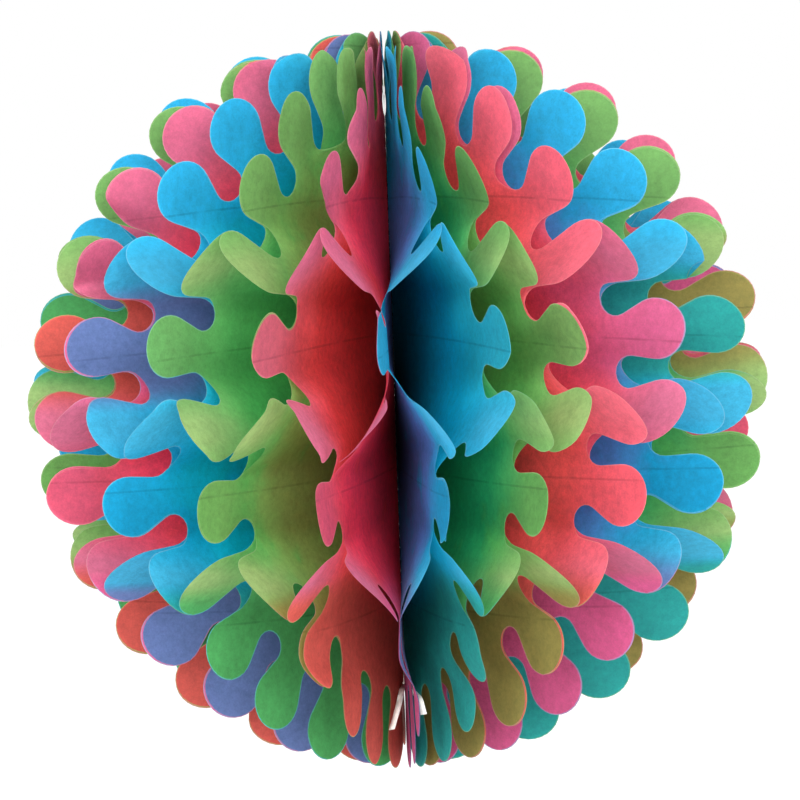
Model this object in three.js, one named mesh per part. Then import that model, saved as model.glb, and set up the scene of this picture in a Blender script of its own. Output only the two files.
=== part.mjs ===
import * as THREE from "three";

const { degToRad, radToDeg, clamp, lerp, smoothstep, mapLinear, euclideanModulo } = THREE.MathUtils;

// Honeycomb ball of tissue leaves, opened all the way round. Millimetres, Z along the spine, front towards -Y.
const ballDiameter = 482.6;
const leafCount = 42;
const paperThickness = 0.25;
const bondGap = 0.2;
const spineRadius = 3.4;
const spineGap = 0.3;

// Knobs and notches along the round edge of a leaf. The notches next to the spine have a single point.
const knobCount = 13;
const knobDiameter = 40;
const knobHalfArc = 65;
const knobFacets = 2;
const notchDepth = 54;
const notchWidth = 17;
const wideNotches = 10;

// Glue lines from the lowest up, and how far two sheets stay together below and above each.
// Neighbours of two colours share the first, third and fifth, neighbours of one colour the others.
const bondLines = [-131, -43, 45, 133, 231];
const heldBelow = [30, 30, 13, 10, 12];
const heldAbove = [8, 12, 28, 58, 20];
const roundness = 0.5;

// One plane on the left holds its two sheets together further down from the fourth line.
const longPlane = 35;
const longHeld = 38;

// Near the top the lines run up along the rim.
const topTilt = 0.35;
const topStart = 150;
const topFull = 200;

// The open folds draw the rim together, more the further out.
const rimShrink = 0.14;

// The ball was opened unevenly. Degrees by which the front planes stand off even spacing, from the tenth on
// the left to the tenth on the right: near the top, at their upper line and at their lower line.
// The back takes up what is left over, and close to the spine the planes stand evenly.
const planeShift = [
  [-6, -6, -6],
  [-7, -7, -6],
  [-7, -7, -9],
  [-11, -11, -9],
  [-5.4, -5.4, -10],
  [-4, -5.2, -4.2],
  [-2, -2.1, -4.8],
  [1, -1.6, -3],
  [4, -1.3, -1.2],
  [2, -2.7, -2.4],
  [-2, -2, -0.5],
  [-4, 0.1, -2.5],
  [-9, -1.1, -3.7],
  [-14, -7.2, -5],
  [-18, -6.6, -4.3],
  [-10, -6.8, -7],
  [-6.7, -6.7, -3.4],
  [-2.5, -2.5, -5.4],
  [-3, -3, 3.5],
  [2, 2, 1],
  [-3, -3, -1],
];
const shiftFade = 8;
const shiftFull = 30;
const oneColourTop = 190;
const twoColourTop = 210;

// Below the lowest line the second planes on the left and on the right turn a little further, in degrees.
const lowTurns = new Map([
  [-2, 3.5],
  [2, 3],
]);
const lowStart = -145;
const lowFull = -180;

// The knobs at mid height are turned to the right, most on the left side.
const twistLeft = 5;
const twistRight = 1;
const twistFull = 12;
const twistEnd = 34;

// Single knobs that stand out of line, in degrees: the turn of the whole knob, and the curl of its tip.
// Both set in over the notches beside the knob, counted in knobs.
const nudges = [
  { leaves: [34, 35], knob: 2.2, turn: 0, curl: 8 },
  { leaves: [38], knob: 5, turn: -2.5, curl: 0 },
  { leaves: [39], knob: 5, turn: 8, curl: 0 },
  { leaves: [40, 41], knob: 3.2, turn: 0, curl: -2.8 },
  { leaves: [40, 41], knob: 4.1, turn: 2.2, curl: -2.5 },
  { leaves: [4], knob: 4, turn: -2.6, curl: 0 },
  { leaves: [4], knob: 5, turn: -1.6, curl: 0 },
];
const nudgeFull = 0.35;
const nudgeEnd = 0.65;
const nudgeStart = 130;

// From the sides on back the ball is a little squarer and its rims sit higher, and it leans to the right.
const swellLeft = 0.15;
const swellRight = 0.09;
const swellLowRight = 0.185;
const swellMost = 0.095;
const swellStart = 62;
const swellFull = 82;
const backLift = 20;
const liftStart = 8;
const liftFull = 11;
const sway = 0.008;

const leafColours = [
  ["turquoise", 0x2ba9dc],
  ["lime", 0x6cb152],
  ["cerise", 0xe2568c],
];
const leavesPerColour = 2;

const tipRadius = ballDiameter / 2;
const knobRadius = knobDiameter / 2;
const knobCentre = tipRadius - knobRadius;
const notchFloor = tipRadius - notchDepth;
const pitch = Math.PI / knobCount;
const lastKnob = (knobCount - 1) / 2;
const innerRadius = spineRadius + spineGap;

// A point of the flat leaf: x is the distance from the spine, y the height.
const polar = (radius, angle) =>
  new THREE.Vector2(radius * Math.cos(angle), radius * Math.sin(angle));

// The round head of knob k, from its lower to its upper end.
function headPoints(k) {
  const centre = polar(knobCentre, k * pitch);
  const points = [];
  for (let i = 0; i <= knobFacets; i++) {
    const turn = degToRad(knobHalfArc) * ((2 * i) / knobFacets - 1);
    points.push(polar(knobRadius, k * pitch + turn).add(centre));
  }
  return points;
}

// The floor of the notch above knob k.
function notchPoints(k) {
  const half = notchWidth / 2 / notchFloor;
  const isWide = Math.abs(k + 0.5) < wideNotches / 2;
  return (isWide ? [-half, half] : [0]).map((turn) => polar(notchFloor, (k + 0.5) * pitch + turn));
}

// The flat leaf as points and triangles: knobs on their feet, then a ladder from the feet to the spine,
// with a rung to each knob but the ones next to the spine.
function flatLeaf() {
  const points = [];
  const triangles = [];
  const add = (p) => points.push(p) - 1;
  const heights = [-notchFloor];
  for (let k = 2 - lastKnob; k <= lastKnob - 2; k++) heights.push(notchFloor * Math.sin(k * pitch));
  heights.push(notchFloor);
  const inner = heights.map((height) => add(new THREE.Vector2(innerRadius, height)));
  const spineTop = inner[inner.length - 1];

  const rim = [];
  const feet = [];
  let foot = inner[0];
  for (let k = -lastKnob; k <= lastKnob; k++) {
    const head = headPoints(k).map(add);
    const floor = k < lastKnob ? notchPoints(k).map(add) : [spineTop];
    const ring = [foot, ...head, floor[0]];
    const local = THREE.ShapeUtils.triangulateShape(ring.map((i) => points[i]), []);
    local.forEach((t) => triangles.push(t.map((i) => ring[i])));
    rim.push(...head, ...floor);
    if (k < lastKnob) feet.push(...floor);
    foot = floor[floor.length - 1];
  }

  let i = 0;
  let j = 0;
  while (i < inner.length - 1 || j < feet.length - 1) {
    const nextInner = i < inner.length - 1 ? points[inner[i + 1]].y : Infinity;
    const nextFoot = j < feet.length - 1 ? points[feet[j + 1]].y : Infinity;
    if (nextFoot <= nextInner) {
      triangles.push([inner[i], feet[j], feet[j + 1]]);
      j++;
    } else {
      triangles.push([inner[i], feet[j], inner[i + 1]]);
      i++;
    }
  }
  const border = [inner[0], ...rim, ...inner.slice(1, -1).reverse()];
  return { points, triangles, border };
}

// Planes are counted from the front, to the right up and to the left down.
const fromFront = (index) => (index > leafCount / 2 ? index - leafCount : index);

// Angle round the spine of the plane between two leaves, from the front towards +X.
function planeAngle(index, p) {
  const reach = (planeShift.length - 1) / 2;
  const place = fromFront(index);
  const beyond = Math.max(Math.abs(place) - reach, 0);
  const fade = Math.max(1 - beyond / shiftFade, 0) * smoothstep(p.x, innerRadius, shiftFull);
  const [top, upper, lower] = planeShift[clamp(place, -reach, reach) + reach];
  const line = index % 2 ? 3 : 2;
  const [lowLine, highLine] = [bondLines[line - 2], bondLines[line]];
  const topLine = index % 2 ? oneColourTop : twoColourTop;
  const shift =
    p.y < highLine
      ? mapLinear(Math.max(p.y, lowLine), lowLine, highLine, lower, upper)
      : mapLinear(Math.min(p.y, topLine), highLine, topLine, upper, top);
  const lowTurn = (lowTurns.get(place) ?? 0) * smoothstep(-p.y, -lowStart, -lowFull);
  return (index / leafCount) * 2 * Math.PI + degToRad((shift + lowTurn) * fade);
}

// How far a leaf has swung from the lines it shares with another colour, 0, to those with its own, 1.
function swing(index, p) {
  const height = p.y - topTilt * p.x * smoothstep(p.y, topStart, topFull);
  let below = 0;
  while (below < bondLines.length - 2 && bondLines[below + 1] < height) below++;
  const low = bondLines[below] + heldAbove[below];
  const isLong = below === 2 && (index === longPlane || index === longPlane - 1);
  const high = bondLines[below + 1] - (isLong ? longHeld : heldBelow[below + 1]);
  const part = clamp((height - low) / (high - low), 0, 1);
  const eased = lerp(part, smoothstep(part, 0, 1), roundness);
  return below % 2 ? 1 - eased : eased;
}

const liftOf = (index) => backLift * smoothstep(Math.abs(fromFront(index % leafCount)), liftStart, liftFull);

// Turn of a knob at mid height, by the angle at which its leaf stands.
function twist(angle, p) {
  const mean = (twistLeft + twistRight) / 2;
  const most = mean - ((twistLeft - twistRight) / 2) * Math.sin(angle);
  return most * clamp(1 + Math.cos(angle), 0, 1) * (1 - smoothstep(Math.abs(p.y), twistFull, twistEnd));
}

function nudge(index, p) {
  const along = p.angle() / pitch;
  const onKnob = smoothstep(p.length(), nudgeStart, notchFloor);
  const onTip = clamp((p.length() - notchFloor) / notchDepth, 0, 1);
  return nudges
    .filter((n) => n.leaves.includes(index))
    .map((n) => (n.turn * onKnob + n.curl * onTip) * (1 - smoothstep(Math.abs(along - n.knob), nudgeFull, nudgeEnd)))
    .reduce((sum, turn) => sum + turn, 0);
}

// Where a point of the flat leaf comes to lie: angle and distance round the spine, and height.
function openPoint(index, p) {
  const margin = (paperThickness + bondGap) / 2 / p.x;
  const before = planeAngle(index, p) + margin;
  const after = planeAngle(index + 1, p) - margin;
  const share = index % 2 ? 1 - swing(index, p) : swing(index, p);
  const out = p.x / tipRadius;
  let angle = lerp(before, after, share);
  angle += degToRad(twist(angle, p)) * out;
  angle += degToRad(nudge(index, p));
  const side = Math.abs(euclideanModulo(radToDeg(angle) + 180, 360) - 180);
  const right = p.y < 0 ? swellLowRight : swellRight;
  const most = (index < leafCount / 2 ? right : swellLeft) * smoothstep(side, swellStart, swellFull);
  const swell = 1 + Math.min(most * Math.abs(p.y / tipRadius) ** 3, swellMost);
  return {
    angle,
    radius: p.x * swell * (1 + sway * Math.sin(angle)),
    height: p.y * (1 - rimShrink * out ** 2) + lerp(liftOf(index), liftOf(index + 1), share) * out,
  };
}

// A leaf between its two planes, bent from the flat one and given its thickness.
function leafGeometry(flat, index) {
  const count = flat.points.length;
  const opened = flat.points.map((p) => openPoint(index, p));
  const positions = [];
  for (const side of [-1, 1]) {
    for (const { angle, radius, height } of opened) {
      const turned = angle + (side * paperThickness) / 2 / radius;
      positions.push(radius * Math.sin(turned), -radius * Math.cos(turned), height);
    }
  }
  const faces = [];
  flat.triangles.forEach(([a, b, c]) => {
    faces.push(a, b, c);
    faces.push(a + count, c + count, b + count);
  });
  flat.border.forEach((a, n) => {
    const b = flat.border[(n + 1) % flat.border.length];
    faces.push(a, a + count, b);
    faces.push(b, a + count, b + count);
  });
  const geometry = new THREE.BufferGeometry();
  geometry.setAttribute("position", new THREE.Float32BufferAttribute(positions, 3));
  geometry.setIndex(faces);
  geometry.computeVertexNormals();
  return geometry;
}

const ball = new THREE.Group();

const flat = flatLeaf();
for (let index = 0; index < leafCount; index++) {
  const [name, colour] = leafColours[Math.floor(index / leavesPerColour) % leafColours.length];
  const paper = new THREE.MeshStandardMaterial({ name, color: colour, roughness: 0.8 });
  const leaf = new THREE.Mesh(leafGeometry(flat, index), paper);
  leaf.name = "leaf_" + String(index + 1).padStart(2, "0") + "_" + name;
  ball.add(leaf);
}

const binding = new THREE.Mesh(
  new THREE.CylinderGeometry(spineRadius, spineRadius, 2 * notchFloor, 16).rotateX(Math.PI / 2),
  new THREE.MeshStandardMaterial({ name: "binding", color: 0xe9e4da, roughness: 0.9 }),
);
binding.name = "spine_binding";
ball.add(binding);

export default ball;
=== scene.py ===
import math

import bpy
import numpy as np
from mathutils import Matrix, Vector


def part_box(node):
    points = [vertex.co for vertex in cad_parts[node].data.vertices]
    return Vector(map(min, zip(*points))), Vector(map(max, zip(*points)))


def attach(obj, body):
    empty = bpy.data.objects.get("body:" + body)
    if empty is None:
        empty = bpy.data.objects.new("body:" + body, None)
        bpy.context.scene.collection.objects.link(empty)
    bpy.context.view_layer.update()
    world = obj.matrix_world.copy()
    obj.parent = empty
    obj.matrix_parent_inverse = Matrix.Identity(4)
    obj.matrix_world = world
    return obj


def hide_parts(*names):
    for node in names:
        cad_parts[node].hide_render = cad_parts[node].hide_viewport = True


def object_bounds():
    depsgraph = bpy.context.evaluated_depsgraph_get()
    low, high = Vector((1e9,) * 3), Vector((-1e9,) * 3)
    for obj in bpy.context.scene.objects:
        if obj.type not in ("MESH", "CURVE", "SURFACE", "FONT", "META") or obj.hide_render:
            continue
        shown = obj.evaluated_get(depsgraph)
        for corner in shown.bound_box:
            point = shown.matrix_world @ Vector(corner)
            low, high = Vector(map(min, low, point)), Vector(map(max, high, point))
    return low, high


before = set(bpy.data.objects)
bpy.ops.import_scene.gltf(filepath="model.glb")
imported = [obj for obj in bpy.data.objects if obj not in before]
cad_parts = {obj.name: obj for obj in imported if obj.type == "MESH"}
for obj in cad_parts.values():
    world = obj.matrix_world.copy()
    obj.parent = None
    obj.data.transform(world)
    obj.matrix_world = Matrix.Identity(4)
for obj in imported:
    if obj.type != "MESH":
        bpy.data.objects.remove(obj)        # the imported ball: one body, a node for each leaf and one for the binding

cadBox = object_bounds()
print("frame:", len(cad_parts), "nodes,", [round(h - l, 3) for l, h in zip(*cadBox)], "m across")


# small helpers for modelling

def deselectAll():
    if bpy.context.mode != "OBJECT":
        bpy.ops.object.mode_set(mode="OBJECT")
    bpy.ops.object.select_all(action="DESELECT")


def pick(obj):
    deselectAll()
    obj.select_set(True)
    bpy.context.view_layer.objects.active = obj


def getPoints(obj):
    flat = np.empty(len(obj.data.vertices) * 3)
    obj.data.vertices.foreach_get("co", flat)
    return flat.reshape(-1, 3)


def setPoints(obj, points):
    obj.data.vertices.foreach_set("co", np.ascontiguousarray(points, dtype=float).ravel())
    obj.data.update()


# two numbers for each point, kept as a UV map
def putUv(obj, name, values):
    layer = obj.data.uv_layers.new(name=name)
    corners = np.empty(len(obj.data.loops), dtype=int)
    obj.data.loops.foreach_get("vertex_index", corners)
    layer.data.foreach_set("uv", np.ascontiguousarray(values[corners], dtype=float).ravel())


# shader maths: a wrapped socket takes Python's operators

class Sock:
    def __init__(self, mat, socket):
        self.mat = mat
        self.socket = socket

    def maths(self, operation, *others):
        return self.mat.node("ShaderNodeMath", {"operation": operation}, dict(enumerate((self, *others))))

    def __add__(self, other):
        return self.maths("ADD", other)

    def __radd__(self, other):
        return self.maths("ADD", other)

    def __sub__(self, other):
        return self.maths("SUBTRACT", other)

    def __rsub__(self, other):
        return self.mat.node("ShaderNodeMath", {"operation": "SUBTRACT"}, {0: other, 1: self})

    def __mul__(self, other):
        return self.maths("MULTIPLY", other)

    def __rmul__(self, other):
        return self.maths("MULTIPLY", other)

    def __abs__(self):
        return self.maths("ABSOLUTE")


class Mat:
    def __init__(self, made):
        self.bpyMat = bpy.data.materials.new(made) if isinstance(made, str) else made
        self.bpyMat.use_nodes = True
        self.tree = self.bpyMat.node_tree
        self.tree.nodes.clear()

    # adds any node: settings first, then the values or links of its sockets
    def node(self, kind, settings=None, inputs=None, out=0):
        made = self.tree.nodes.new(kind)
        for key, value in (settings or {}).items():
            setattr(made, key, value)
        for key, value in (inputs or {}).items():
            if isinstance(value, Sock):
                self.tree.links.new(value.socket, made.inputs[key])
            else:
                made.inputs[key].default_value = value
        return Sock(self, made.outputs[out]) if made.outputs else None

    def mixColour(self, factor, a, b, blend="MIX"):
        return self.node("ShaderNodeMix", {"data_type": "RGBA", "blend_type": blend},
                         {0: factor, 6: a, 7: b}, out=2)

    def smooth(self, value, low, high):
        return self.node("ShaderNodeMapRange", {"interpolation_type": "SMOOTHSTEP"},
                         {0: value, 1: low, 2: high, 3: 0.0, 4: 1.0})

    def noise(self, vector, scale, detail, rough):
        return self.node("ShaderNodeTexNoise", {},
                         {"Vector": vector, "Scale": scale, "Detail": detail, "Roughness": rough})

    # 1 for what the camera sees, itself or in a mirror or through glass
    def seenDirectly(self):
        path = self.tree.nodes.new("ShaderNodeLightPath")
        kinds = ("Camera", "Glossy", "Transmission")
        rays = [Sock(self, path.outputs["Is " + kind + " Ray"]) for kind in kinds]
        return rays[0].maths("MAXIMUM", rays[1]).maths("MAXIMUM", rays[2])

    def finish(self, shader):
        self.node("ShaderNodeOutputMaterial", {}, {"Surface": shader})
        return self.bpyMat


def fromSrgb(r, g, b):
    def one(v):
        v /= 255
        return v / 12.92 if v <= 0.04045 else ((v + 0.055) / 1.055) ** 2.4
    return (one(r), one(g), one(b), 1.0)


# camera: the photo's viewpoint, a little above the middle, the ball leaning a little to the left

view = {
    "distance": 1.272,
    "elevation": 3.9,
    "azimuth": 0.0,
    "roll": 2.0,
    "lens": 86.5,
    "sensor": 36.0,
    "shiftX": 0.0066,
    "shiftY": 0.0012,
    "clipEnd": 50,
}


def makeCamera(v):
    data = bpy.data.cameras.new("camera")
    data.lens = v["lens"]
    data.sensor_width = v["sensor"]
    data.sensor_fit = "HORIZONTAL"
    data.clip_end = v["clipEnd"]
    data.shift_x = v["shiftX"]
    data.shift_y = v["shiftY"]
    cam = bpy.data.objects.new("camera", data)
    bpy.context.scene.collection.objects.link(cam)
    a, e = math.radians(v["azimuth"]), math.radians(v["elevation"])
    back = Vector((math.sin(a) * math.cos(e), -math.cos(a) * math.cos(e), math.sin(e)))
    turn = back.to_track_quat("Z", "Y").to_matrix().to_4x4()
    tilt = Matrix.Rotation(math.radians(-v["roll"]), 4, "Z")
    cam.matrix_world = Matrix.Translation(back * v["distance"]) @ turn @ tilt
    bpy.context.scene.camera = cam


makeCamera(view)
print("camera in place")


# the flat leaf: half a disc, round knobs along the rim with round notches between them

leafCut = {
    "tipRadius": (cadBox[1][0] - cadBox[0][0]) / 2,
    "knobs": 13,
    "knobRadius": 0.020,
    "notchRadius": 0.0105,
    "notchDepth": 0.054,
    "spineEdge": 0.0024,     # from the axis to the straight edge
    "knobSteps": 18,
    "notchSteps": 10,
    "rowStep": 0.004,     # rows and columns to bend along
    "rowStart": 0.37,     # in rows, which keeps them off the corners
    "columnStep": 0.014,
    "edge": 0.0008,     # a narrow band along the rim
    "weld": 1e-5,
}


def leafOutline(c):
    pitch = math.pi / c["knobs"]
    knobCentre = c["tipRadius"] - c["knobRadius"]
    notchCentre = c["tipRadius"] - c["notchDepth"] + c["notchRadius"]
    # the straight run between a knob and its notch touches both circles
    along = notchCentre * math.cos(pitch / 2) - knobCentre
    across = notchCentre * math.sin(pitch / 2)
    lean = math.acos((c["knobRadius"] + c["notchRadius"]) / math.hypot(along, across))
    sweep = math.atan2(across, along) - lean
    points = []

    def arc(radius, angle, size, start, end, steps):
        for i in range(steps + 1):
            turn = angle + start + (end - start) * i / steps
            x = radius * math.cos(angle) + size * math.cos(turn)
            points.append((max(x, c["spineEdge"]), radius * math.sin(angle) + size * math.sin(turn)))

    half = (c["knobs"] - 1) // 2
    inward = sweep - pitch / 2
    arc(notchCentre, -math.pi / 2, c["notchRadius"], math.pi, math.pi - inward, c["notchSteps"] // 2)
    for k in range(-half, half + 1):
        arc(knobCentre, k * pitch, c["knobRadius"], -sweep, sweep, c["knobSteps"])
        if k < half:
            between = (k + 0.5) * pitch
            arc(notchCentre, between, c["notchRadius"], math.pi + inward, math.pi - inward, c["notchSteps"])
    arc(notchCentre, math.pi / 2, c["notchRadius"], math.pi + inward, math.pi, c["notchSteps"] // 2)
    return points


def makeFlatLeaf(c):
    outline = leafOutline(c)
    deselectAll()
    bpy.ops.mesh.primitive_circle_add(vertices=len(outline), radius=c["tipRadius"], fill_type="NGON")
    leaf = bpy.context.object
    leaf.name = "flatLeaf"
    setPoints(leaf, [(x, 0.0, z) for x, z in outline])
    bpy.ops.object.mode_set(mode="EDIT")
    bpy.ops.mesh.select_all(action="SELECT")
    bpy.ops.mesh.remove_doubles(threshold=c["weld"])
    bpy.ops.mesh.inset(thickness=c["edge"], depth=0)
    rows = int(c["tipRadius"] / c["rowStep"])
    for row in range(-rows, rows + 1):
        bpy.ops.mesh.select_all(action="SELECT")
        bpy.ops.mesh.bisect(plane_co=(0, 0, (row + c["rowStart"]) * c["rowStep"]), plane_no=(0, 0, 1))
    for column in range(1, int(c["tipRadius"] / c["columnStep"])):
        bpy.ops.mesh.select_all(action="SELECT")
        bpy.ops.mesh.bisect(plane_co=(column * c["columnStep"], 0, 0), plane_no=(1, 0, 0))
    bpy.ops.mesh.select_all(action="DESELECT")
    bpy.ops.mesh.select_non_manifold(extend=False, use_wire=False, use_multi_face=False,
                                     use_non_contiguous=False, use_verts=False)
    bpy.ops.object.mode_set(mode="OBJECT")
    bpy.ops.object.shade_smooth()
    putUv(leaf, "flat", getPoints(leaf)[:, [0, 2]])     # the flat leaf's own coordinates, in metres
    onRim = np.array([[point.select, 0.0] for point in leaf.data.vertices], dtype=float)
    putUv(leaf, "rim", onRim)
    print("flat leaf:", len(leaf.data.vertices), "points,", len(leaf.data.polygons), "faces")
    return leaf


# how the leaves open: glued to one neighbour at the even lines, to the other at the odd ones

folds = {
    "bondHeights": [-0.131, -0.043, 0.045, 0.133, 0.231],     # the glue lines
    "firstLine": -2,     # the number of the lowest one
    "heldBelow": [0.030, 0.030, 0.013, 0.010, 0.012],     # how far the sheets stay together below each line
    "heldAbove": [0.008, 0.012, 0.028, 0.058, 0.020],
    "topTilt": 0.35,     # near the top the lines run up along the rim
    "topFrom": [0.15, 0.20],
    "heldSpread": 0.15,     # how much that differs from plane to plane
    "longPlane": 35,     # holds its sheets together further down from the fourth line
    "longHeld": 0.038,
    "roundness": 0.5,     # of the bends beside the lines
    "rimShrink": 0.14,     # the opened rim is lower than the flat one
    "sheetGap": 0.0004,
    # degrees off even of the front planes, left to right:
    # near the top, at their upper line and at their lower line
    "planeShift": [(-6, -6, -6), (-7, -7, -6), (-7, -7, -9), (-11, -11, -9), (-5.4, -5.4, -10),
                   (-4, -5.2, -4.2), (-2, -2.1, -4.8), (1, -1.6, -3), (4, -1.3, -1.2), (2, -2.7, -2.4),
                   (-2, -2, -0.5), (-4, 0.1, -2.5), (-9, -1.1, -3.7), (-14, -7.2, -5), (-18, -6.6, -4.3),
                   (-10, -6.8, -7), (-6.7, -6.7, -3.4), (-2.5, -2.5, -5.4), (-3, -3, 3.5), (2, 2, 1),
                   (-3, -3, -1)],
    "shiftLines": [0.19, 0.21],     # where the top ones hold, for planes of one colour and of two
    "shiftFade": 8,     # in planes, past the last of them
    "shiftFull": 0.03,     # from the spine
    "lowTurns": {-2: 3.5, 0: 3.7, 2: 3.0},     # planes that turn further below the lowest line
    "lowFrom": [0.145, 0.180],
    # from the sides on back the ball is a little squarer
    "swell": {"left": 0.15, "right": 0.09, "lowRight": 0.185},
    "swellMost": 0.095,
    "swellGrowth": 3,
    "swellFrom": [62, 82],     # in degrees from the front
    "twist": {"left": 5.0, "right": 1.0, "reach": 0.034, "full": 0.012},     # of the knobs at mid height
    "sway": 0.008,     # the ball stands a little to the right of its spine
    "backLift": 0.020,     # the rims of the back half sit higher than those of the front half
    "backFrom": [8, 11],     # in planes from the front
    # planes whose two colours hardly show through each other, above the second line
    # below 0 not even from across the cell
    "faint": {-4: 0.3, -2: 0.35, 0: -1.0, 2: 0.35, 4: 0.05, 6: 0.5},
    # single knobs that stand out of line: leaves, knob, degrees for the whole knob and for its tip
    "nudges": [((34,), 2.5, -0.4, 0), ((35,), 2.5, 0.4, 0), ((39,), -3, -0.4, 0), ((40,), -3, 0.4, 0),
               ((41, 0), 1, 0.9, -0.9), ((21, 22), -5, -5.7, 0), ((21, 22), -6, -4.8, 0),
               ((34, 35), 2.2, 0, 8), ((38,), 5, -2.5, 0), ((39,), 5, 8, 0), ((40, 41), 3.2, 0, -2.8),
               ((40, 41), 4.1, 2.2, -2.5), ((4,), 4, -2.6, 0), ((4,), 5, -1.6, 0)],
    "nudgeEnds": [0.35, 0.65],     # in knobs
    "nudgeFrom": 0.13,     # from the middle of the ball
    "lean": 0.5,     # in degrees at the rim
    "leanWaves": [9, 21],
    "leanSecond": 0.6,
    "leanGrowth": 1.5,
    "ripple": 0.3,     # in degrees at the rim
    "rippleWaves": [(55, 20), (83, -34)],     # up and out
    "rippleGrowth": 3,
    "slip": 0.0011,     # of one sheet on the next
    "showsAt": 0.026,     # two sheets further apart than this don't show through each other
    "showsFrom": [0.10, 0.17],     # from the middle of the ball
    "openSide": 0.1,     # from where on a leaf counts as turned
    "seed": 7,
}


def smoothStep(x, low, high):
    t = np.clip((x - low) / (high - low), 0, 1)
    return t * t * (3 - 2 * t)


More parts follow.
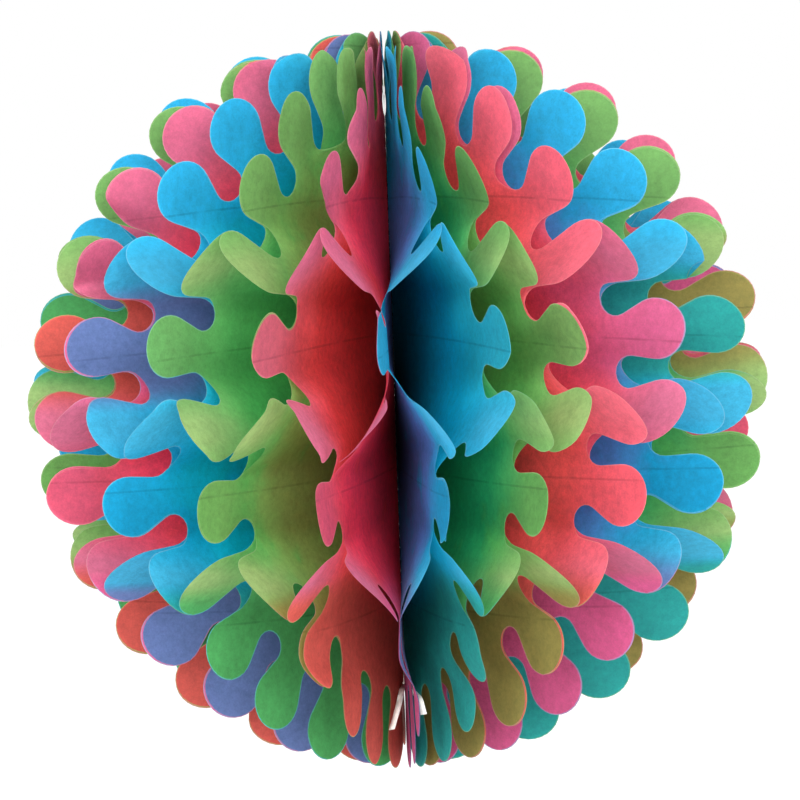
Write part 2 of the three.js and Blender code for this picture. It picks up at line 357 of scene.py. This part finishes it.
class Opening:
    def __init__(self, f, c, count):
        self.f = f
        self.count = count
        self.knobs = c["knobs"]
        self.radius = c["tipRadius"]
        self.floor = c["tipRadius"] - c["notchDepth"]
        self.lines = np.array(f["bondHeights"])
        rng = np.random.default_rng(f["seed"])
        self.leanPhase = rng.uniform(0, 2 * math.pi, (count, 2))
        self.leanSize = rng.normal(0, 1, (count, 2))
        self.ripplePhase = rng.uniform(0, 2 * math.pi, (count, 2))
        self.held = 1 + f["heldSpread"] * rng.uniform(-1, 1, (count, len(self.lines)))
        self.slips = f["slip"] * rng.uniform(-1, 1, (count, 2))

    # planes are counted from the front, to the right up and to the left down
    def fromFront(self, index):
        return index - self.count if index > self.count / 2 else index

    # angle of the plane that two leaves share, unevenly opened at the front
    def openAngle(self, index, rho, z):
        f = self.f
        reach = len(f["planeShift"]) // 2
        place = self.fromFront(index)
        fade = max(1 - max(abs(place) - reach, 0) / f["shiftFade"], 0) * smoothStep(rho, 0, f["shiftFull"])
        top, upper, lower = f["planeShift"][min(max(place, -reach), reach) + reach]
        line = 2 if index % 2 == 0 else 3
        heights = [self.lines[line - 2], self.lines[line], f["shiftLines"][1 - index % 2]]
        shift = np.interp(z, heights, [lower, upper, top])
        shift = shift + f["lowTurns"].get(place, 0) * smoothStep(-z, *f["lowFrom"])
        return 2 * math.pi * index / self.count + np.radians(shift * fade)

    # the same plane leaning and rippling a little towards the rim
    def plane(self, index, rho, z):
        f = self.f
        p = index % self.count
        out = rho / self.radius
        slow, quick = f["leanWaves"]
        lean = (self.leanSize[p, 0] * np.sin(z * slow + self.leanPhase[p, 0])
                + f["leanSecond"] * self.leanSize[p, 1] * np.sin(z * quick + self.leanPhase[p, 1]))
        ripple = sum(np.sin(z * up + rho * outward + phase)
                     for (up, outward), phase in zip(f["rippleWaves"], self.ripplePhase[p]))
        wander = f["lean"] * lean * out ** f["leanGrowth"] + f["ripple"] * ripple * out ** f["rippleGrowth"]
        return self.openAngle(index, rho, z) + np.radians(wander)

    def lift(self, index):
        place = self.fromFront(index % self.count)
        return self.f["backLift"] * smoothStep(abs(place), *self.f["backFrom"])

    # how far a leaf has swung from its even lines, 0, to its odd ones, 1
    def swing(self, index, rho, z):
        f = self.f
        z = z - f["topTilt"] * rho * smoothStep(z, *f["topFrom"])
        below = np.clip(np.searchsorted(self.lines, z) - 1, 0, len(self.lines) - 2)
        left, right = index % self.count, (index + 1) % self.count
        evenPlane, oddPlane = (left, right) if index % 2 == 0 else (right, left)

        def heldPart(line, sizes):
            plane = np.where((line + f["firstLine"]) % 2 == 0, evenPlane, oddPlane)
            return self.held[plane, line] * np.array(sizes)[line]

        low = self.lines[below] + heldPart(below, f["heldAbove"])
        high = self.lines[below + 1] - heldPart(below + 1, f["heldBelow"])
        if oddPlane == f["longPlane"]:
            high = np.where(below == 2, self.lines[3] - f["longHeld"], high)
        t = np.clip((z - low) / (high - low), 0, 1)
        eased = t + f["roundness"] * (t * t * (3 - 2 * t) - t)
        return np.where((below + f["firstLine"]) % 2 == 0, eased, 1 - eased)

    # the bent leaf, and how close each point lies to the neighbour of another colour and to either one
    def bend(self, index, flat):
        f = self.f
        slip = self.slips[index]
        rho, z = flat[:, 0], flat[:, 2]
        margin = f["sheetGap"] / 2 / rho
        swing = self.swing(index, rho, z)
        share = 1 - swing if index % 2 else swing
        left = self.plane(index, rho, z) + margin
        right = self.plane(index + 1, rho, z) - margin
        angle = left + share * (right - left)
        t = f["twist"]
        turn = t["left"] + t["right"] - (t["left"] - t["right"]) * np.sin(angle)
        turn = turn / 2 * np.clip(1 + np.cos(angle), 0, 1)
        atMiddle = 1 - smoothStep(np.abs(z), t["full"], t["reach"])
        angle = angle + np.radians(turn) * atMiddle * rho / self.radius
        along = np.arctan2(z, rho) * self.knobs / math.pi
        reach = np.hypot(rho, z)
        onKnob = smoothStep(reach, f["nudgeFrom"], self.floor)
        onTip = np.clip((reach - self.floor) / (self.radius - self.floor), 0, 1)
        for leaves, knob, turn, curl in f["nudges"]:
            if index in leaves:
                beside = smoothStep(np.abs(along - knob), *f["nudgeEnds"])
                angle = angle + np.radians((turn * onKnob + curl * onTip) * (1 - beside))
        side = np.abs((np.degrees(angle) + 180) % 360 - 180)
        most = f["swell"]["left"]
        if index < self.count / 2:
            most = np.where(z < 0, f["swell"]["lowRight"], f["swell"]["right"])
        most = most * smoothStep(side, *f["swellFrom"])
        swell = 1 + np.minimum(most * np.abs(z / self.radius) ** f["swellGrowth"], f["swellMost"])
        outer = rho * swell * (1 + f["sway"] * np.sin(angle)) + slip[0] * rho / self.radius
        lift = self.lift(index) + share * (self.lift(index + 1) - self.lift(index)) + slip[1]
        height = z * (1 - f["rimShrink"] * (rho / self.radius) ** 2) + lift * rho / self.radius
        width = 2 * rho * (right - left)
        near = np.clip(1 - np.column_stack((swing * width, (1 - swing) * width)) / f["showsAt"], 0, 1)
        near *= smoothStep(reach, *f["showsFrom"])[:, None]
        near[:, 1] = near.max(axis=1)
        shared = self.fromFront(index + index % 2)
        near[:, 0] *= np.where(z > self.lines[1], f["faint"].get(shared, 1.0), 1.0)
        return np.column_stack((outer * np.sin(angle), -outer * np.cos(angle), height)), near


# tissue: thin dyed paper that passes much of its light, cloudy and fibrous, creased along the glue lines; with painted
# shade in the creases and towards the spine, and painted bounce colours deep in the cells

tissue = {
    "passes": 0.5,     # the share of light that goes through
    "passesSpread": 0.2,
    "roughness": 0.72,
    "gloss": 0.2,
    "bump": 0.15,
    "bumpDepth": 0.0005,
    "bumpGrain": 0.5,
    # how strong each of the noises is, and its scale, detail and roughness
    "cloud": 0.75,
    "cloudNoise": (210.0, 4.0, 0.7),
    "blots": 0.30,
    "blotNoise": (34.0, 3.0, 0.55),
    "grain": 0.35,
    "grainNoise": (900.0, 2.0, 0.6),
    "crease": 0.20,     # painted shade in the creases along the glue lines, a little broken
    "creaseWidth": 0.0010,
    "creaseCore": 0.35,
    "breakNoise": (60.0, 1.0, 0.5),
    "breakEnds": (0.25, 0.55),
    "deepFrom": 0.224,     # from here to there inwards the colour gets fuller: painted light, the build-up of coloured light bounced between the leaves deep in the cells
    "deepTo": 0.145,
    "deepWander": 0.03,
    "patches": 0.85,     # of the painted bounce colour from across the cell
    "patchDeep": 0.35,
    "patchEnds": (0.5, 0.8),
    "acrossEnds": (-0.8, -0.1),
    "showsWander": 0.5,
    "showsEnds": (0.0, 0.9),
    "single": 0.6,     # how much paler a leaf is where it stands free of its neighbours
    "low": 0.7,     # and how much deeper where two of one colour meet in the lower half
    "lowEnds": (-0.05, 0.02),
    "edge": 0.10,
    "edgeColour": fromSrgb(244, 238, 214),
    "fringe": 0.55,     # the sheet behind peeps out along the rim
    "rimEnds": (0.1, 0.7),
    # painted shade: darker towards the spine, deep in the cells where little light gets in
    "spineShade": {"turquoise": 0.99, "lime": 0.8, "cerise": 0.6},
    "spineReach": {"turquoise": 0.14, "lime": 0.10, "cerise": 0.06},
}

dyes = {
    "turquoise": fromSrgb(42, 165, 205),
    "lime": fromSrgb(112, 162, 92),
    "cerise": fromSrgb(202, 102, 133),
}

# painted light: fuller colours deep in the cells, standing in for coloured light bounced between the leaves
paintedDeepBounce = {
    "turquoise": fromSrgb(0, 176, 222),
    "lime": fromSrgb(84, 186, 92),
    "cerise": fromSrgb(246, 76, 84),
}

singleDyes = {
    "turquoise": fromSrgb(68, 159, 194),
    "lime": fromSrgb(154, 174, 111),
    "cerise": fromSrgb(184, 98, 123),
}

lowDyes = {
    "turquoise": fromSrgb(0, 142, 182),
    "lime": fromSrgb(102, 159, 83),
    "cerise": fromSrgb(204, 78, 102),
}

# what is seen where the first lies glued on the second
stacked = {
    ("turquoise", "cerise"): fromSrgb(95, 120, 170),
    ("turquoise", "lime"): fromSrgb(42, 152, 150),
    ("lime", "turquoise"): fromSrgb(76, 156, 88),
    ("lime", "cerise"): fromSrgb(136, 132, 71),
    ("cerise", "turquoise"): fromSrgb(208, 90, 134),
    ("cerise", "lime"): fromSrgb(202, 88, 80),
}

# and deep in a cell, where the first only faces the second across it: painted light, the colour of light bounced
# across the cell from the second
facing = {
    ("turquoise", "cerise"): fromSrgb(92, 118, 192),
    ("turquoise", "lime"): fromSrgb(0, 172, 186),
    ("lime", "turquoise"): fromSrgb(36, 174, 112),
    ("lime", "cerise"): fromSrgb(140, 160, 88),
    ("cerise", "turquoise"): fromSrgb(236, 70, 104),
    ("cerise", "lime"): fromSrgb(244, 98, 98),
}
facingAtRim = {("cerise", "lime"): 0.5}     # where this painted bounce colour reaches out to the rim


def makeTissue(front, behind, faces, t, f):
    m = Mat("tissue_" + front + ("_facing_" if faces else "_on_") + behind)
    place = m.node("ShaderNodeUVMap", {"uv_map": "flat"})
    near = m.node("ShaderNodeUVMap", {"uv_map": "near"})
    nearOther = m.node("ShaderNodeSeparateXYZ", {}, {0: near}, out=0)
    nearAny = m.node("ShaderNodeSeparateXYZ", {}, {0: near}, out=1)
    onRim = m.node("ShaderNodeSeparateXYZ", {}, {0: m.node("ShaderNodeUVMap", {"uv_map": "rim"})}, out=0)
    height = m.node("ShaderNodeSeparateXYZ", {}, {0: place}, out=1)
    reach = m.node("ShaderNodeVectorMath", {"operation": "LENGTH"}, {0: place}, out=1)
    where = m.node("ShaderNodeTexCoord", out=3)
    blots = m.noise(where, *t["blotNoise"])
    cloud = m.noise(where, *t["cloudNoise"])
    grain = m.noise(where, *t["grainNoise"])
    width = t["creaseWidth"]
    crease = 0.0
    for line in f["bondHeights"]:
        crease = 1 - m.smooth(abs(height - line), width * t["creaseCore"], width) + crease
    crease = crease * m.smooth(m.noise(where, *t["breakNoise"]), *t["breakEnds"])
    deep = 1 - m.smooth(reach + (blots - 0.5) * t["deepWander"], t["deepTo"], t["deepFrom"])
    colour = m.mixColour((1 - nearAny) * t["single"], dyes[front], singleDyes[front])
    low = nearAny * (1 - m.smooth(height, *t["lowEnds"])) * t["low"]
    colour = m.mixColour(low, colour, lowDyes[front])
    # painted light: inwards the colour turns to the fuller bounce colour of the deep cells
    colour = m.mixColour(deep, colour, paintedDeepBounce[front])
    # painted light: deep in a cell, patches of the colour bounced from the leaf across it
    if faces:
        atRim = facingAtRim.get((front, behind), 0.0)
        patches = m.smooth(blots + deep * t["patchDeep"], *t["patchEnds"]) * deep * (1 - atRim) + atRim
        patches = patches * m.smooth(nearOther, *t["acrossEnds"])
        colour = m.mixColour(patches * t["patches"], colour, facing[front, behind])
    shows = m.smooth(nearOther + (blots - 0.5) * t["showsWander"] * nearOther, *t["showsEnds"])
    colour = m.mixColour(shows, colour, stacked[front, behind])
    shade = 1 + (cloud - 0.5) * t["cloud"] + (grain - 0.5) * t["grain"] + (blots - 0.5) * t["blots"]
    # painted shade along the creases at the glue lines
    shade = shade * (1 - crease * t["crease"])
    # painted shade near the spine, deep in the cells
    shade = shade * (1 - (1 - m.smooth(reach, 0.0, t["spineReach"][front])) * t["spineShade"][front])
    grey = m.node("ShaderNodeCombineXYZ", {}, {0: shade, 1: shade, 2: shade})
    colour = m.mixColour(1.0, colour, grey, "MULTIPLY")
    rim = m.smooth(onRim, *t["rimEnds"])
    colour = m.mixColour(rim * t["edge"], colour, t["edgeColour"])
    colour = m.mixColour(rim * shows * t["fringe"], colour, dyes[behind])
    relief = cloud + grain * t["bumpGrain"] - crease
    bump = m.node("ShaderNodeBump", {}, {"Strength": t["bump"], "Distance": t["bumpDepth"], "Height": relief})
    paper = m.node("ShaderNodeBsdfPrincipled", {}, {"Base Color": colour, "Roughness": t["roughness"],
                                                    "Specular IOR Level": t["gloss"], "Normal": bump})
    through = m.node("ShaderNodeBsdfTranslucent", {}, {"Color": colour, "Normal": bump})
    passes = t["passes"] + (cloud - 0.5) * t["passesSpread"]
    return m.finish(m.node("ShaderNodeMixShader", {}, {0: passes, 1: paper, 2: through}))


# one knob on the right has the corner of its tip folded over

foldedTip = {
    "leaf": 7,
    "knob": 2,
    "toward": -47.0,     # where the corner lay, in degrees up from straight out
    "crease": 0.0172,     # from the middle of the knob
    "gap": 0.0006,
    "reach": 1.1,     # in knob radii
}


def creaseLine(t, c):
    turn = t["knob"] * math.pi / c["knobs"]
    middle = (c["tipRadius"] - c["knobRadius"]) * np.array((math.cos(turn), 0, math.sin(turn)))
    side = math.radians(t["toward"])
    toward = np.array((math.cos(side), 0, math.sin(side)))
    return middle, middle + t["crease"] * toward, toward


def foldTip(leaf, t, c):
    middle, crease, toward = creaseLine(t, c)
    pick(leaf)
    bpy.ops.object.mode_set(mode="EDIT")
    bpy.ops.mesh.select_all(action="SELECT")
    bpy.ops.mesh.bisect(plane_co=crease, plane_no=toward)
    bpy.ops.mesh.mark_sharp()
    bpy.ops.object.mode_set(mode="OBJECT")
    flat = getPoints(leaf)
    onKnob = np.linalg.norm(flat - middle, axis=1) < t["reach"] * c["knobRadius"]
    past = np.where(onKnob, np.clip((flat - crease) @ toward, 0, None), 0)
    return flat - 2 * np.outer(past, toward), np.minimum(past, t["gap"])


flatLeaf = makeFlatLeaf(leafCut)
papers = {(*pair, faces): makeTissue(*pair, faces, tissue, folds)
          for pair in stacked for faces in (True, False)}
leafNodes = sorted(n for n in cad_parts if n.startswith("leaf_"))
leafColours = [n.split("_")[2] for n in leafNodes]
opening = Opening(folds, leafCut, len(leafNodes))
flatPoints = getPoints(flatLeaf)
for index, node in enumerate(leafNodes):
    partner = (index - 1 if index % 2 == 0 else index + 1) % len(leafNodes)
    leaf = flatLeaf.copy()
    leaf.data = flatLeaf.data.copy()
    leaf.name = "tissue_" + node
    bpy.context.scene.collection.objects.link(leaf)
    if index == foldedTip["leaf"]:
        folded, lifted = foldTip(leaf, foldedTip, leafCut)
        bent, near = opening.bend(index, folded)
        around = math.radians(360 * (index + 0.5) / len(leafNodes))
        bent = bent - np.outer(lifted, (math.cos(around), math.sin(around), 0))
    else:
        bent, near = opening.bend(index, flatPoints)
    setPoints(leaf, bent)
    putUv(leaf, "near", near)
    leaf.data.materials.clear()
    # which of its sides is the open one
    turned = math.sin(4 * math.pi * (index + 0.5) / len(leafNodes)) > folds["openSide"]
    leaf.data.materials.append(papers[leafColours[index], leafColours[partner], turned == (index % 2 == 0)])
    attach(leaf, "root")
    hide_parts(node)
bpy.data.objects.remove(flatLeaf)
print("leaves:", len(leafNodes))


# the binding: three twisted strands along the spine, knotted at the lower end, with short loose ends

binding = {
    "strands": 3,
    "strandRadius": 0.0018,
    "strandOffset": 0.0016,
    "turns": 16,
    "steps": 12,
    "around": 6,
    "knotRadius": 0.0042,
    "knotFlat": 0.8,
    "knotDrop": 0.4,     # in knot radii, as the next one
    "endDrop": 0.5,
    "lumps": {"size": 0.12, "around": 3, "up": 900},
    "endWidth": 0.0045,
    "endSteps": 8,
    "endSide": (0.8, -0.5, 0.25),     # the way across a flat end
    "thickness": 0.0006,
    # loose ends as points from the knot down: across, towards the back, down
    "ends": [[(-0.001, -0.003, 0.000), (-0.004, -0.055, 0.002), (-0.009, -0.062, 0.016)],
             [(0.001, -0.003, 0.000), (0.0095, -0.075, -0.006), (0.0115, -0.083, 0.002)]],
    "endPlaces": [0, 0.4, 1],     # where these points lie along the end
    "colour": fromSrgb(236, 232, 224),
    "shade": 0.985,     # painted shade: between the leaves it is dark
    "shadeEnds": [0.150, 0.186],
    "fibres": 0.25,
    "fibreNoise": (900.0, 2.0, 0.6),
    "bump": 0.2,
    "bumpDepth": 0.0004,
    "roughness": 0.85,
    "gloss": 0.2,
}


def makeBindingMaterial(b):
    m = Mat("twistedThread")
    where = m.node("ShaderNodeTexCoord", out=3)
    height = m.node("ShaderNodeSeparateXYZ", {}, {0: where}, out=2)
    fibres = m.noise(where, *b["fibreNoise"])
    # painted shade: the thread is darkened along its middle, where it runs hidden between the leaves
    shade = 1 - (1 - m.smooth(abs(height), *b["shadeEnds"])) * b["shade"] + (fibres - 0.5) * b["fibres"]
    grey = m.node("ShaderNodeCombineXYZ", {}, {0: shade, 1: shade, 2: shade})
    colour = m.mixColour(1.0, b["colour"], grey, "MULTIPLY")
    bump = m.node("ShaderNodeBump", {}, {"Strength": b["bump"], "Distance": b["bumpDepth"], "Height": fibres})
    thread = m.node("ShaderNodeBsdfPrincipled", {}, {"Base Color": colour, "Roughness": b["roughness"],
                                                     "Specular IOR Level": b["gloss"], "Normal": bump})
    return m.finish(thread)


def makeBinding(b):
    low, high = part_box("spine_binding")
    length = high[2] - low[2]
    pieces = []
    for strand in range(b["strands"]):
        deselectAll()
        bpy.ops.mesh.primitive_circle_add(vertices=b["around"], radius=b["strandRadius"])
        made = bpy.context.object
        turn = 2 * math.pi * strand / b["strands"]
        ring = getPoints(made)
        across = b["strandOffset"] + ring[:, 0]
        up = ring[:, 1] + low[2]
        setPoints(made, np.column_stack((across * math.cos(turn), across * math.sin(turn), up)))
        screw = made.modifiers.new("twist", "SCREW")
        screw.axis = "Z"
        screw.angle = 2 * math.pi * b["turns"]
        screw.screw_offset = length
        screw.steps = b["turns"] * b["steps"]
        screw.render_steps = screw.steps
        bpy.ops.object.modifier_apply(modifier="twist")
        pieces.append(made)
    deselectAll()
    bpy.ops.mesh.primitive_ico_sphere_add(subdivisions=3, radius=b["knotRadius"])
    knot = bpy.context.object
    points = getPoints(knot)
    lumps = b["lumps"]
    around = np.arctan2(points[:, 1], points[:, 0])
    points *= (1 + lumps["size"] * np.sin(lumps["around"] * around + points[:, 2] * lumps["up"]))[:, None]
    setPoints(knot, points * (1, 1, b["knotFlat"]) + (0, 0, low[2] - b["knotRadius"] * b["knotDrop"]))
    pieces.append(knot)
    for end in b["ends"]:
        deselectAll()
        bpy.ops.mesh.primitive_grid_add(x_subdivisions=1, y_subdivisions=b["endSteps"], size=1)
        made = bpy.context.object
        flat = getPoints(made)
        along = flat[:, 1] + 0.5
        middle = np.column_stack([np.interp(along, b["endPlaces"], [p[i] for p in end]) for i in range(3)])
        places = middle * (1, 1, -1) + np.outer(flat[:, 0] * b["endWidth"], b["endSide"])
        setPoints(made, places + (0, 0, low[2] - b["knotRadius"] * b["endDrop"]))
        thicken = made.modifiers.new("thickness", "SOLIDIFY")
        thicken.thickness = b["thickness"]
        bpy.ops.object.modifier_apply(modifier="thickness")
        pieces.append(made)
    deselectAll()
    for piece in pieces:
        piece.select_set(True)
    bpy.context.view_layer.objects.active = pieces[0]
    bpy.ops.object.join()
    thread = bpy.context.object
    thread.name = "spineThread"
    bpy.ops.object.shade_smooth()
    thread.data.materials.clear()
    thread.data.materials.append(makeBindingMaterial(b))
    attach(thread, "root")
    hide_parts("spine_binding")
    print("binding:", len(thread.data.polygons), "faces")


makeBinding(binding)


# studio: pale floor under a white backdrop, soft light all round

studio = {
    "floorDrop": 0.22,
    "floorSize": 30.0,
    "floorGrey": 0.9,
    "floorWhite": 0.86,     # the share of plain white that the camera sees
    "glow": 1.11,     # of that white
    "sky": 1.0,
    "lamps": {
        "rightKey": {"place": (0.62, -2.35, 0.45), "power": 27.0, "size": 0.7},
        "leftKey": {"place": (-0.62, -2.35, 0.45), "power": 27.0, "size": 0.7},
        "rightSide": {"place": (1.64, -1.82, 0.45), "power": 29.0, "size": 0.7},
        "leftSide": {"place": (-1.64, -1.82, 0.45), "power": 29.0, "size": 0.7},
        "nearFill": {"place": (0.03, -0.85, 0.34), "power": 3.6, "size": 0.40},
        "backLeft": {"place": (-1.9, 1.7, 0.7), "power": 18.0, "size": 1.5},
        "backRight": {"place": (1.9, 1.7, 0.7), "power": 18.0, "size": 1.5},
    },
}


def makeStudio(s):
    deselectAll()
    bpy.ops.mesh.primitive_plane_add(size=s["floorSize"], location=(0, 0, cadBox[0][2] - s["floorDrop"]))
    floor = bpy.context.object
    floor.name = "floor"
    m = Mat("paleFloor")
    seen = m.seenDirectly()
    white = m.node("ShaderNodeEmission", {}, {"Color": (1, 1, 1, 1), "Strength": s["glow"]})
    matt = m.node("ShaderNodeBsdfDiffuse", {}, {"Color": (*[s["floorGrey"]] * 3, 1)})
    mixed = m.node("ShaderNodeMixShader", {}, {0: seen * s["floorWhite"], 1: matt, 2: white})
    floor.data.materials.append(m.finish(mixed))

    world = bpy.data.worlds.new("softSky")
    bpy.context.scene.world = world
    world.use_nodes = True
    sky = Mat(world)
    level = sky.seenDirectly() * (1.0 - s["sky"]) + s["sky"]
    back = sky.node("ShaderNodeBackground", {}, {"Color": (1, 1, 1, 1), "Strength": level})
    sky.node("ShaderNodeOutputWorld", {}, {"Surface": back})

    for name, lamp in s["lamps"].items():
        data = bpy.data.lights.new(name, "AREA")
        data.energy = lamp["power"]
        data.size = lamp["size"]
        made = bpy.data.objects.new(name, data)
        bpy.context.scene.collection.objects.link(made)
        made.location = lamp["place"]
        made.rotation_euler = (-Vector(lamp["place"])).to_track_quat("-Z", "Y").to_euler()


makeStudio(studio)
bpy.context.scene.view_settings.view_transform = "Standard"
print("studio in place")
